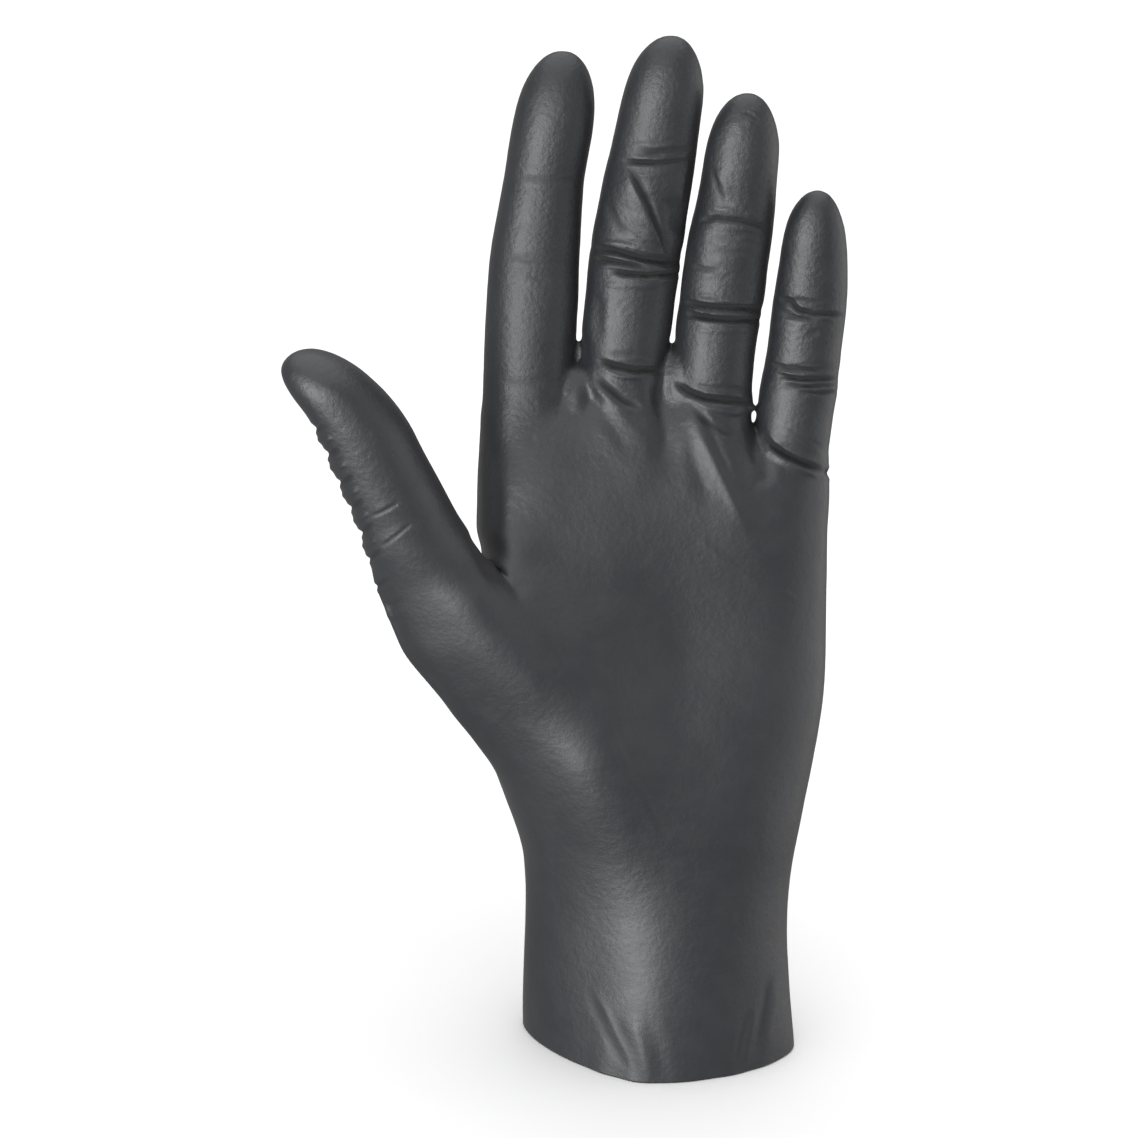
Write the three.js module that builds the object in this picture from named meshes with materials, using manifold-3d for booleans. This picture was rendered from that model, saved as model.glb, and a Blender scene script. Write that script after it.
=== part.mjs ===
// Nitrile exam glove for a left hand, in the form that it takes when worn.
// It is one seamless dipped film: cuff, palm, four finger stalls and a thumb stall. It is hollow, and open at
// the cuff.
//
// Millimetres. +Z runs from the opening to the fingertips, -Y is the palm side, and +X is the side of the
// little finger. The origin is the centre of the opening, in the plane of the rim.

import * as THREE from "three";
import Module from "manifold-3d";

const wasm = await Module();
wasm.setup();

// Driving dimensions

const FILM = 1; // wall
const PALM_LENGTH = 160; // rim to the highest web between two fingers
const PALM_WIDTH = 81; // across the knuckles
const PALM_DEPTH = 30; // front to back at the middle of the palm
const PALM_LEAN = 17; // how far the knuckles stand behind the rim's centre
const KNUCKLE_ROUND = 0.07; // share of the palm's height over which its upper edge is rounded

const PALM_SIDES = 44; // points around the palm and cuff, a multiple of 4
const PALM_RINGS = 20; // rings from the rim to the knuckles
const STALL_SIDES = 16; // points around a stall, a multiple of 4
const STALL_STEP = 0.42; // greatest distance between rings along a stall, a share of its width
const LEAST_STEP = 0.04; // least distance between them, a share of its width
const DOME_RINGS = 4; // rings on a stall's rounded end
const SQUARE = 2.15; // section of a stall, where 2 is an ellipse

// One row for each section of the palm and cuff. at: share of the palm's height, from the rim up.
// left, right: shares of half the palm's width. front, back: shares of half its depth. lean: share of
// PALM_LEAN. turn: degrees about the upright axis. square: 2 is an ellipse, less has sharper sides.
const PALM_SECTIONS = [
  { at: 0.0, left: 0.81, right: 0.81, front: 1.67, back: 1.62, lean: 0.11, turn: -13.5, square: 1.62 },
  { at: 0.1, left: 0.8, right: 0.785, front: 1.59, back: 1.58, lean: 0.13, turn: -12.5, square: 1.75 },
  { at: 0.22, left: 0.79, right: 0.76, front: 1.46, back: 1.48, lean: 0.19, turn: -10.5, square: 1.92 },
  { at: 0.32, left: 0.83, right: 0.79, front: 1.32, back: 1.36, lean: 0.3, turn: -7.5, square: 2.1 },
  { at: 0.42, left: 0.93, right: 0.86, front: 1.17, back: 1.21, lean: 0.44, turn: -5, square: 2.3 },
  { at: 0.55, left: 1.01, right: 0.92, front: 1.05, back: 1.08, lean: 0.6, turn: -2, square: 2.5 },
  { at: 0.7, left: 1.03, right: 0.95, front: 0.96, back: 0.98, lean: 0.78, turn: 0, square: 2.7 },
  { at: 0.84, left: 1.03, right: 0.95, front: 0.82, back: 0.82, lean: 0.92, turn: 0, square: 3.0 },
  { at: 0.92, left: 1.02, right: 0.95, front: 0.7, back: 0.68, lean: 0.97, turn: 0, square: 3.2 },
  { at: 1.0, left: 1.0, right: 0.94, front: 0.62, back: 0.6, lean: 1.0, turn: 0, square: 3.4 },
];

// Height of the palm's upper edge, a share of PALM_LENGTH. at: share of half the palm's width, from its
// middle to the side, less than 0 on the thumb's side.
const KNUCKLE_LINE = [
  { at: -1.0, height: 0.96 },
  { at: -0.5, height: 1.0 },
  { at: 0.05, height: 0.994 },
  { at: 0.53, height: 0.935 },
  { at: 1.0, height: 0.855 },
];

// Swellings and hollows of the palm and the back of the hand. across, wide: place and reach sideways, shares
// of half the palm's width. up, tall: place and reach upwards, shares of PALM_LENGTH. rise: outwards, a share
// of half the palm's depth, less than 0 for a hollow.
const MOUNDS = {
  front: [
    { name: "ball of the thumb", across: -0.6, up: 0.56, wide: 0.82, tall: 0.36, rise: 0.98 },
    { name: "web of the thumb", across: -0.86, up: 0.75, wide: 0.42, tall: 0.15, rise: 0.24 },
    { name: "heel below the little finger", across: 0.6, up: 0.48, wide: 0.6, tall: 0.25, rise: 0.17 },
    { name: "hollow of the palm", across: 0.12, up: 0.68, wide: 0.6, tall: 0.2, rise: -0.17 },
    { name: "pad below the index finger", across: -0.7, up: 0.88, wide: 0.35, tall: 0.11, rise: 0.1 },
    { name: "pad below the middle finger", across: -0.2, up: 0.89, wide: 0.3, tall: 0.11, rise: 0.08 },
    { name: "pad below the ring finger", across: 0.32, up: 0.87, wide: 0.3, tall: 0.11, rise: 0.08 },
    { name: "pad below the little finger", across: 0.75, up: 0.79, wide: 0.3, tall: 0.11, rise: 0.1 },
    { name: "web from index to middle finger", across: -0.46, up: 0.99, wide: 0.15, tall: 0.11, rise: -0.16 },
    { name: "web from middle to ring finger", across: 0.05, up: 0.985, wide: 0.15, tall: 0.15, rise: -0.19 },
    { name: "web from ring to little finger", across: 0.52, up: 0.93, wide: 0.15, tall: 0.11, rise: -0.16 },
  ],
  back: [
    { name: "root of the thumb", across: -0.86, up: 0.58, wide: 0.6, tall: 0.26, rise: 0.36 },
    { name: "index knuckle", across: -0.72, up: 0.85, wide: 0.27, tall: 0.095, rise: 0.13 },
    { name: "middle knuckle", across: -0.2, up: 0.87, wide: 0.27, tall: 0.095, rise: 0.16 },
    { name: "ring knuckle", across: 0.3, up: 0.83, wide: 0.25, tall: 0.09, rise: 0.13 },
    { name: "little knuckle", across: 0.72, up: 0.76, wide: 0.25, tall: 0.08, rise: 0.12 },
    { name: "web from index to middle finger", across: -0.46, up: 0.98, wide: 0.15, tall: 0.15, rise: -0.17 },
    { name: "web from middle to ring finger", across: 0.05, up: 0.97, wide: 0.15, tall: 0.15, rise: -0.17 },
    { name: "web from ring to little finger", across: 0.52, up: 0.92, wide: 0.15, tall: 0.15, rise: -0.16 },
  ],
};

// Stretch folds of the palm, straight ridges from one place to another. wide: across the ridge, a share of
// half the palm's width. The other columns are as for the mounds.
const RIDGES = [
  { name: "ring finger", across: 0.18, up: 0.94, toAcross: 0.52, toUp: 0.76, wide: 0.27, rise: 0.09 },
  { name: "middle finger", across: -0.32, up: 0.97, toAcross: -0.04, toUp: 0.87, wide: 0.22, rise: 0.07 },
];

// Pleats that run up from the cuff's edge. around: where, as a share of the way round from +X by +Y.
// rise: how far the pleat stands out at the edge, a share of half the palm's depth. tall: where it has run
// out, a share of PALM_LENGTH.
const PLEATS = [
  { around: 0.705, rise: 0.04, tall: 0.1 },
  { around: 0.75, rise: 0.045, tall: 0.12 },
  { around: 0.885, rise: 0.04, tall: 0.11 },
  { around: 0.93, rise: 0.033, tall: 0.08 },
];

// across: where the stall stands on the knuckle line, a share of half the palm's width. length: knuckle line
// to tip. lean: degrees towards the little finger's side. rise: degrees that it leans back at its root.
// curl: degrees that it bends forward from root to tip.
const FINGERS = {
  index: { across: -0.73, length: 77, width: 20.8, depth: 18, lean: 4.6, rise: 5, curl: 9 },
  middle: { across: -0.19, length: 78.5, width: 20, depth: 18, lean: 6.4, rise: 5, curl: 15 },
  ring: { across: 0.29, length: 71, width: 18.5, depth: 17, lean: 4.9, rise: 5, curl: 16 },
  little: { across: 0.75, length: 60.5, width: 16.4, depth: 15, lean: 5.0, rise: 4, curl: 16 },
};

// One row for each section of a stall. at: share of its length, from the knuckle line to the tip.
// width, depth: shares of its own. shift: sideways, a share of its width.
const FINGER_SECTIONS = {
  index: [
    { at: -0.25, width: 0.94, depth: 0.85, shift: 0.0 },
    { at: 0.0, width: 1.0, depth: 1.0, shift: -0.03 },
    { at: 0.3, width: 0.99, depth: 1.02, shift: -0.06 },
    { at: 0.45, width: 0.94, depth: 0.97, shift: -0.06 },
    { at: 0.62, width: 0.86, depth: 0.92, shift: -0.03 },
    { at: 0.76, width: 0.87, depth: 0.9, shift: 0.01 },
    { at: 1.0, width: 0.8, depth: 0.78, shift: 0.05 },
  ],
  middle: [
    { at: -0.25, width: 0.92, depth: 0.85, shift: 0.0 },
    { at: 0.0, width: 0.99, depth: 1.0, shift: -0.06 },
    { at: 0.33, width: 0.99, depth: 1.02, shift: -0.1 },
    { at: 0.45, width: 0.95, depth: 0.97, shift: -0.09 },
    { at: 0.58, width: 0.98, depth: 0.96, shift: -0.05 },
    { at: 0.72, width: 0.93, depth: 0.9, shift: -0.02 },
    { at: 1.0, width: 0.84, depth: 0.78, shift: 0.02 },
  ],
  ring: [
    { at: -0.25, width: 0.91, depth: 0.85, shift: 0.0 },
    { at: 0.0, width: 0.98, depth: 1.0, shift: -0.04 },
    { at: 0.3, width: 1.01, depth: 1.02, shift: -0.02 },
    { at: 0.54, width: 1.0, depth: 0.96, shift: 0.0 },
    { at: 0.66, width: 0.93, depth: 0.9, shift: 0.02 },
    { at: 1.0, width: 0.82, depth: 0.78, shift: 0.02 },
  ],
  little: [
    { at: -0.28, width: 1.08, depth: 0.85, shift: -0.08 },
    { at: 0.0, width: 1.06, depth: 1.0, shift: -0.05 },
    { at: 0.2, width: 1.02, depth: 1.0, shift: -0.03 },
    { at: 0.4, width: 0.98, depth: 0.98, shift: 0.0 },
    { at: 0.6, width: 0.95, depth: 0.94, shift: 0.0 },
    { at: 0.75, width: 0.88, depth: 0.88, shift: -0.03 },
    { at: 1.0, width: 0.76, depth: 0.74, shift: -0.05 },
  ],
};

// The thumb's centre line, from inside the wrist to the tip. across: share of half the palm's width.
// front: share of half its depth, from the rim's centre forward. up: share of PALM_LENGTH.
const THUMB_LINE = [
  { across: -0.22, front: -0.3, up: 0.28 },
  { across: -0.47, front: -0.08, up: 0.42 },
  { across: -0.78, front: 0.2, up: 0.55 },
  { across: -1.12, front: 0.46, up: 0.674 },
  { across: -1.34, front: 0.6, up: 0.79 },
  { across: -1.52, front: 0.78, up: 0.89 },
  { across: -1.96, front: 1.1, up: 1.093 },
];

const THUMB_WIDTH = 24;
const THUMB_DEPTH = 21;

// at is a share of the centre line. The other columns are as for the fingers.
const THUMB_SECTIONS = [
  { at: 0.0, width: 1.0, depth: 0.9, shift: 0.0 },
  { at: 0.2, width: 1.28, depth: 1.15, shift: 0.0 },
  { at: 0.38, width: 1.3, depth: 1.2, shift: 0.0 },
  { at: 0.54, width: 1.15, depth: 1.12, shift: 0.0 },
  { at: 0.66, width: 0.94, depth: 1.0, shift: -0.01 },
  { at: 0.78, width: 0.83, depth: 0.93, shift: 0.02 },
  { at: 0.85, width: 0.78, depth: 0.92, shift: 0.06 },
  { at: 0.92, width: 0.69, depth: 0.88, shift: 0.04 },
  { at: 1.0, width: 0.66, depth: 0.78, shift: -0.05 },
];

// Share of a stall's length taken by its rounded end.
const DOMES = { index: 0.2, middle: 0.2, ring: 0.2, little: 0.22, thumb: 0.065 };

// Creases across a stall's palm side, one row each. at: share of its length. deep: how far in, a share of
// its depth. wide: from one shoulder of the crease to the other, a share of its width. around: how far it
// goes round, 1 is the palm half, 2 all round.
const CREASES = [
  { stall: "index", at: 0.02, deep: 0.022, wide: 0.15, around: 0.9 },
  { stall: "index", at: 0.37, deep: 0.022, wide: 0.15, around: 0.9 },
  { stall: "index", at: 0.62, deep: 0.017, wide: 0.15, around: 0.9 },
  { stall: "middle", at: 0.03, deep: 0.044, wide: 0.18, around: 1.0 },
  { stall: "middle", at: 0.36, deep: 0.044, wide: 0.18, around: 1.5 },
  { stall: "middle", at: 0.64, deep: 0.033, wide: 0.15, around: 1.0 },
  { stall: "ring", at: 0.02, deep: 0.047, wide: 0.18, around: 1.0 },
  { stall: "ring", at: 0.29, deep: 0.041, wide: 0.18, around: 1.3 },
  { stall: "ring", at: 0.58, deep: 0.03, wide: 0.16, around: 1.0 },
  { stall: "little", at: -0.02, deep: 0.047, wide: 0.2, around: 1.2 },
  { stall: "little", at: 0.28, deep: 0.047, wide: 0.2, around: 1.2 },
  { stall: "little", at: 0.56, deep: 0.04, wide: 0.18, around: 1.1 },
  { stall: "thumb", at: 0.72, deep: 0.02, wide: 0.13, around: 0.9 },
];

// Gathers along the outer side of the thumb. from, to: shares of its centre line. rise: share of its width.
const GATHERS = { from: 0.6, to: 0.9, count: 6, rise: 0.021 };

// Value of one column of a table at a share, on a smooth curve through the rows.
function column(rows, name, at) {
  const last = rows.length - 1;
  if (at <= rows[0].at) return rows[0][name];
  if (at >= rows[last].at) return rows[last][name];
  const i = rows.findIndex((row) => row.at > at) - 1;
  const slope = (a, b) => (rows[b][name] - rows[a][name]) / (rows[b].at - rows[a].at);
  const gap = rows[i + 1].at - rows[i].at;
  const leaving = slope(Math.max(i - 1, 0), i + 1) * gap;
  const arriving = slope(i, Math.min(i + 2, last)) * gap;
  const t = (at - rows[i].at) / gap;
  const low = rows[i][name] * (1 + 2 * t) * (1 - t) ** 2;
  const high = rows[i + 1][name] * t * t * (3 - 2 * t);
  return low + high + leaving * t * (1 - t) ** 2 + arriving * t * t * (t - 1);
}

// 1 at the middle, falling smoothly to 0 at a distance of 1.
function bump(distance) {
  return distance < 1 ? (1 - distance * distance) ** 2 : 0;
}

// Points from (a, 0) to just before (0, b) on a quarter of a rounded outline, evenly spaced along it.
function quarter(a, b, square, count) {
  const FINE = 48;
  const fine = [];
  for (let i = 0; i <= FINE; i += 1) {
    const angle = (Math.PI / 2) * (i / FINE);
    const x = a * Math.abs(Math.cos(angle)) ** (2 / square);
    const y = b * Math.abs(Math.sin(angle)) ** (2 / square);
    const run = i === 0 ? 0 : fine[i - 1].run + Math.hypot(x - fine[i - 1].x, y - fine[i - 1].y);
    fine.push({ x, y, run });
  }
  const points = [];
  for (let i = 0, k = 1; i < count; i += 1) {
    const run = (fine[FINE].run * i) / count;
    while (fine[k].run < run) k += 1;
    const t = (run - fine[k - 1].run) / (fine[k].run - fine[k - 1].run);
    const between = (name) => fine[k - 1][name] + t * (fine[k][name] - fine[k - 1][name]);
    points.push(new THREE.Vector3(between("x"), between("y"), 0));
  }
  return points;
}

// Closed outline of evenly spaced points, from +X round by +Y, with a reach of its own on each side.
function section(left, right, front, back, square, sides) {
  const count = sides / 4;
  const flip = (points, x, y) => points.map((p) => new THREE.Vector3(p.x * x, p.y * y, 0));
  const turned = (a, b) => quarter(b, a, square, count).map((p) => new THREE.Vector3(p.y, p.x, 0));
  return [
    ...quarter(right, back, square, count),
    ...flip(turned(left, back), -1, 1),
    ...flip(quarter(left, front, square, count), -1, -1),
    ...flip(turned(right, front), 1, -1),
  ];
}

// Closed solid through rings of points. The first ring is closed by a fan, the last by a strip from the
// front half to the back half.
function loft(rings) {
  const sides = rings[0].length;
  const root = rings[0].reduce((sum, p) => sum.add(p), new THREE.Vector3()).divideScalar(sides);
  const positions = [...rings.flat(), root].flatMap((p) => p.toArray());
  const rootIndex = rings.length * sides;
  const top = (rings.length - 1) * sides;
  const faces = [];
  for (let i = 0; i < sides; i += 1) {
    const next = (i + 1) % sides;
    faces.push(rootIndex, next, i);
    for (let row = 0; row < top; row += sides) {
      faces.push(row + i, row + next, row + sides + i);
      faces.push(row + next, row + sides + next, row + sides + i);
    }
  }
  for (let i = 0; i < sides / 2; i += 1) {
    const back = [top + i, top + i + 1];
    const front = [top + ((sides - i) % sides), top + sides - i - 1];
    if (i > 0) faces.push(front[0], back[0], back[1]);
    if (i < sides / 2 - 1) faces.push(front[0], back[1], front[1]);
  }
  return new wasm.Manifold(
    new wasm.Mesh({
      numProp: 3,
      vertProperties: new Float32Array(positions),
      triVerts: new Uint32Array(faces),
    }),
  );
}

// How far the palm or back of the hand stands out at a place. across: share of half the palm's width.
// up: share of PALM_LENGTH.
function relief(face, across, up) {
  let rise = 0;
  for (const m of MOUNDS[face]) {
    rise += m.rise * bump(Math.hypot((across - m.across) / m.wide, (up - m.up) / m.tall));
  }
  if (face === "back") return (rise * PALM_DEPTH) / 2;
  const spot = (x, z) => new THREE.Vector3((x * PALM_WIDTH) / 2, 0, z * PALM_LENGTH);
  for (const r of RIDGES) {
    const line = new THREE.Line3(spot(r.across, r.up), spot(r.toAcross, r.toUp));
    const nearest = line.closestPointToPoint(spot(across, up), true, new THREE.Vector3());
    rise += r.rise * bump(nearest.distanceTo(spot(across, up)) / ((r.wide * PALM_WIDTH) / 4));
  }
  return (rise * PALM_DEPTH) / 2;
}

// How far the pleats move the cuff's skin outwards at one of its columns.
function pleat(i, up) {
  let rise = 0;
  for (const p of PLEATS) {
    const off = Math.abs(i - Math.round(p.around * PALM_SIDES));
    const left = Math.max(0, 1 - up / p.tall);
    if (off < 2) rise += p.rise * left * (off === 0 ? 1 : -0.4);
  }
  return (rise * PALM_DEPTH) / 2;
}

// Palm and cuff. inset moves the surface inwards, which gives the hollow inside the film.
function palm(inset) {
  const halfWidth = PALM_WIDTH / 2;
  const halfDepth = PALM_DEPTH / 2;
  const up = new THREE.Vector3(0, 0, 1);
  const shares = [];
  for (let i = 0; i <= PALM_RINGS; i += 1) shares.push(((1 - KNUCKLE_ROUND) * i) / PALM_RINGS);
  for (let i = 1; i <= DOME_RINGS; i += 1) {
    shares.push(1 - KNUCKLE_ROUND * (1 - Math.sin((Math.PI / 2) * (i / (DOME_RINGS + 0.2)))));
  }
  const rings = shares.map((at) => {
    const value = (name) => column(PALM_SECTIONS, name, at);
    const over = Math.max(0, (at - 1 + KNUCKLE_ROUND) / KNUCKLE_ROUND);
    const close = Math.sqrt(1 - over * over);
    const ring = section(
      value("left") * halfWidth - inset,
      value("right") * halfWidth - inset,
      (value("front") * halfDepth - inset) * close,
      (value("back") * halfDepth - inset) * close,
      value("square"),
      PALM_SIDES,
    );
    const reach = Math.max(...ring.map((p) => Math.abs(p.y)));
    ring.forEach((point, i) => {
      const across = point.x / halfWidth;
      const height = column(KNUCKLE_LINE, "height", across) * PALM_LENGTH;
      point.z = at === 0 ? -inset : at * (height - inset);
      const facing = Math.abs(point.y / reach) ** 0.5;
      const face = point.y < 0 ? "front" : "back";
      const share = point.z / PALM_LENGTH;
      const out = facing * close * relief(face, across, share) + pleat(i, share);
      point.y += Math.sign(point.y) * out;
      point.applyAxisAngle(up, THREE.MathUtils.degToRad(value("turn")));
      point.y += value("lean") * PALM_LEAN;
    });
    return ring;
  });
  return loft(rings);
}

// Distances along a stall where it has rings: at each crease, and evenly between.
function stations(name, start, length, width, inset) {
  const dome = DOMES[name] * length - inset;
  const end = length - inset - dome;
  const fixed = [start * length, end];
  for (const crease of CREASES.filter((row) => row.stall === name)) {
    const middle = crease.at * length;
    const shoulder = (crease.wide * width) / 2;
    fixed.push(middle - shoulder, middle, middle + shoulder);
  }
  if (name === "thumb") {
    const step = ((GATHERS.to - GATHERS.from) * length) / (2 * GATHERS.count);
    for (let i = 0; i <= 2 * GATHERS.count; i += 1) fixed.push(GATHERS.from * length + i * step);
  }
  fixed.sort((a, b) => a - b);
  const list = [{ s: fixed[0], close: 1 }];
  for (const s of fixed) {
    const from = list[list.length - 1].s;
    if (s - from < LEAST_STEP * width) continue;
    const count = Math.ceil((s - from) / (STALL_STEP * width));
    for (let k = 1; k <= count; k += 1) list.push({ s: from + ((s - from) * k) / count, close: 1 });
  }
  for (let i = 1; i <= DOME_RINGS; i += 1) {
    const angle = (Math.PI / 2) * (i / (DOME_RINGS + 0.35));
    list.push({ s: end + dome * Math.sin(angle), close: Math.cos(angle) });
  }
  return list;
}

// How far creases and gathers move a stall's skin outwards at a distance along it. side is -1 on the
// thumb's side and 1 on the other, facing is -1 at the palm side and 1 at the back.
function folds(name, s, length, width, depth, side, facing) {
  let out = 0;
  for (const crease of CREASES.filter((row) => row.stall === name)) {
    const off = Math.abs(s - crease.at * length) / ((crease.wide * width) / 2);
    const round = Math.min(1, Math.max(0, (crease.around - 1 - facing) / 0.6));
    if (off < 1.5) out += round * crease.deep * depth * (off < 0.5 ? -1 : 0.25);
  }
  if (name === "thumb") {
    const phase = ((s / length - GATHERS.from) / (GATHERS.to - GATHERS.from)) * GATHERS.count;
    if (phase > 0 && phase < GATHERS.count) {
      out -= GATHERS.rise * width * Math.cos(2 * Math.PI * phase) * Math.max(0, -side) ** 2;
    }
  }
  return out;
}

// Stall around a centre line, whose rows start at the share where the line does.
function stall(name, line, length, rows, width, depth, inset) {
  const across = new THREE.Vector3(1, 0, 0);
  const start = rows[0].at;
  const rings = stations(name, start, length, width, inset).map(({ s, close }) => {
    const at = s / length;
    const u = Math.min(1, Math.max(0, (at - start) / (1 - start)));
    const along = line.getTangentAt(u);
    const side = across.clone().addScaledVector(along, -across.dot(along)).normalize();
    const back = along.clone().cross(side);
    const centre = line.getPointAt(u).addScaledVector(side, column(rows, "shift", at) * width);
    const halfWidth = (column(rows, "width", at) * width) / 2 - inset;
    const halfDepth = (column(rows, "depth", at) * depth) / 2 - inset;
    return section(halfWidth, halfWidth, halfDepth, halfDepth, SQUARE, STALL_SIDES).map((p) => {
      const out = folds(name, s, length, width, depth, p.x / halfWidth, p.y / halfDepth);
      const grow = (1 + out / p.length()) * close;
      return centre.clone().addScaledVector(side, p.x * grow).addScaledVector(back, p.y * grow);
    });
  });
  return loft(rings);
}

function finger(name, inset) {
  const { across, length, width, depth, lean, rise, curl } = FINGERS[name];
  const rows = FINGER_SECTIONS[name];
  const start = rows[0].at;
  const height = column(KNUCKLE_LINE, "height", across) * PALM_LENGTH;
  const knuckle = new THREE.Vector3((across * PALM_WIDTH) / 2, PALM_LEAN, height);
  const direction = (at) => {
    const angle = THREE.MathUtils.degToRad(rise - curl * Math.max(at, 0));
    const sideways = THREE.MathUtils.degToRad(lean);
    return new THREE.Vector3(
      Math.sin(sideways),
      Math.cos(sideways) * Math.sin(angle),
      Math.cos(sideways) * Math.cos(angle),
    );
  };
  const STEPS = 10;
  const point = knuckle.clone().addScaledVector(direction(0), start * length);
  const points = [point.clone()];
  for (let i = 0; i < STEPS; i += 1) {
    const middle = start + ((1 - start) * (i + 0.5)) / STEPS;
    point.addScaledVector(direction(middle), ((1 - start) * length) / STEPS);
    points.push(point.clone());
  }
  return stall(name, new THREE.CatmullRomCurve3(points), length, rows, width, depth, inset);
}

function thumb(inset) {
  const points = THUMB_LINE.map(
    ({ across, front, up }) =>
      new THREE.Vector3((across * PALM_WIDTH) / 2, (-front * PALM_DEPTH) / 2, up * PALM_LENGTH),
  );
  const line = new THREE.CatmullRomCurve3(points);
  return stall("thumb", line, line.getLength(), THUMB_SECTIONS, THUMB_WIDTH, THUMB_DEPTH, inset);
}

function hand(inset) {
  let body = palm(inset).add(thumb(inset));
  for (const name of Object.keys(FINGERS)) body = body.add(finger(name, inset));
  return body;
}

function mesh(name, solid, material) {
  const { vertProperties, triVerts } = solid.getMesh();
  const geometry = new THREE.BufferGeometry();
  geometry.setAttribute("position", new THREE.BufferAttribute(vertProperties, 3));
  geometry.setIndex(new THREE.BufferAttribute(triVerts, 1));
  geometry.computeVertexNormals();
  const made = new THREE.Mesh(geometry, material);
  made.name = name;
  return made;
}

const nitrile = new THREE.MeshStandardMaterial({ color: 0x2c2d30, roughness: 0.5, metalness: 0 });

const glove = new THREE.Group();
glove.add(mesh("glove", hand(0).subtract(hand(FILM)), nitrile));

export default glove;
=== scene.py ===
# Nitrile exam glove for a left hand, in the form that it takes when worn, standing on its cut edge.
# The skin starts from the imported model's outside, is made smooth, and then gets its folds.

import math
import random

import bmesh
import bpy
import numpy as np
from mathutils import Matrix, Vector, noise
from mathutils.kdtree import KDTree


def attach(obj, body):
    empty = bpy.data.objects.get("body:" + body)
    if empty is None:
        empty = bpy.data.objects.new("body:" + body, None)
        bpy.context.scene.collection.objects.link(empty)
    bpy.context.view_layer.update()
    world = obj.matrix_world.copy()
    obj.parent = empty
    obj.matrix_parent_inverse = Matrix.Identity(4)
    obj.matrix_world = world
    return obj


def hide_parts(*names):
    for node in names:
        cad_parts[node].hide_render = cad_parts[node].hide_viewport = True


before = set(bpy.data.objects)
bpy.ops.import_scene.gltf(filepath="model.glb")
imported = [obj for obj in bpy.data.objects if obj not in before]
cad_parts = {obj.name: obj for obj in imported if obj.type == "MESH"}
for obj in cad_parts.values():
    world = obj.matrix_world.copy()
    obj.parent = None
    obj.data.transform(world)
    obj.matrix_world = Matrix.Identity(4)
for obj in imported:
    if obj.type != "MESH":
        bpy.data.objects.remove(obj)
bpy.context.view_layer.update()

# Camera, placed as for the photograph. Lengths are in millimetres, pixels are those of a square picture
PICTURE_SIDE = 1138
MM_PER_PIXEL = 0.2297
CAMERA_DISTANCE = 750.0
CAMERA_ELEVATION = math.radians(20)
CAMERA_TARGET = np.array([-21.0, 8.0, 116.0])
SENSOR_WIDTH = 36.0
FOCAL_PIXELS = CAMERA_DISTANCE / MM_PER_PIXEL

FORWARD = np.array([0.0, math.cos(CAMERA_ELEVATION), -math.sin(CAMERA_ELEVATION)])
UPWARD = np.array([0.0, math.sin(CAMERA_ELEVATION), math.cos(CAMERA_ELEVATION)])
RIGHTWARD = np.array([1.0, 0.0, 0.0])
CAMERA_PLACE = CAMERA_TARGET - CAMERA_DISTANCE * FORWARD

# Film, in millimetres
FILM = 0.3  # wall
SKIRT = 9.0  # how far the cut edge is carried down while the skin is worked
CELL = 0.6  # spacing of the skin's points while its form is worked, halved for the folds
COARSE_CELL = 1.5  # spacing of a rougher copy, used for the broad smoothing
TRIANGLES = 98500  # of the outside, before the wall gets its inside
SMOOTH_REACH = 2.4  # how far the first smoothing reaches
WEB_BLEND_REACH = 4.5  # how far it reaches where the stalls grow out of the palm
PALM_BLEND_REACH = 13.0  # how far it reaches between the thumb and the palm

THUMB_SIDE = -41.5  # x below which a point above the thumb's root is on the thumb, in millimetres
STALLS_FROM = 133.0  # height above which a point may be on a finger

# Places where the skin is blended: x, y, z and reach, in millimetres
PALM_BLENDS = [
    (-44.0, -12.0, 112.0, 22.0),
    (-34.0, -10.0, 100.0, 30.0),
    (-26.0, -12.0, 82.0, 34.0),
    (-22.0, -14.0, 62.0, 32.0),
    (-16.0, -18.0, 40.0, 30.0),
    (0.0, -4.0, 110.0, 34.0),
    (6.0, -10.0, 78.0, 36.0),
    (2.0, -16.0, 44.0, 32.0),
    (22.0, 0.0, 104.0, 26.0),
    (-36.0, 22.0, 98.0, 28.0),
]
WEB_BLENDS = [
    (-29.0, 7.0, 148.0, 11.0),
    (-8.0, 7.0, 150.0, 11.0),
    (12.0, 7.0, 146.0, 11.0),
    (30.0, 7.0, 136.0, 11.0),
    (-29.0, 26.0, 148.0, 13.0),
    (-8.0, 26.0, 150.0, 13.0),
    (12.0, 26.0, 146.0, 13.0),
    (30.0, 26.0, 136.0, 13.0),
]

# Slits between the fingers. Columns: x and z of the lower end, and how much lower it is pulled, in
# millimetres. Their walls are smoothed less.
WEBS = [(-19.0, 163.0, 0.0), (2.6, 166.0, 0.0), (21.8, 144.0, 2.4)]
WEB_REACH = 11.0

# Fillings of the slits' lower ends, so that the film bridges from finger to finger: middle and half sizes of
# rounded bodies, in millimetres.
WEB_FILLS = [
    ((-19.2, 15.5, 152.0), (4.5, 7.0, 11.0)),
    ((2.7, 17.5, 156.5), (3.0, 6.5, 10.5)),
]

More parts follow.
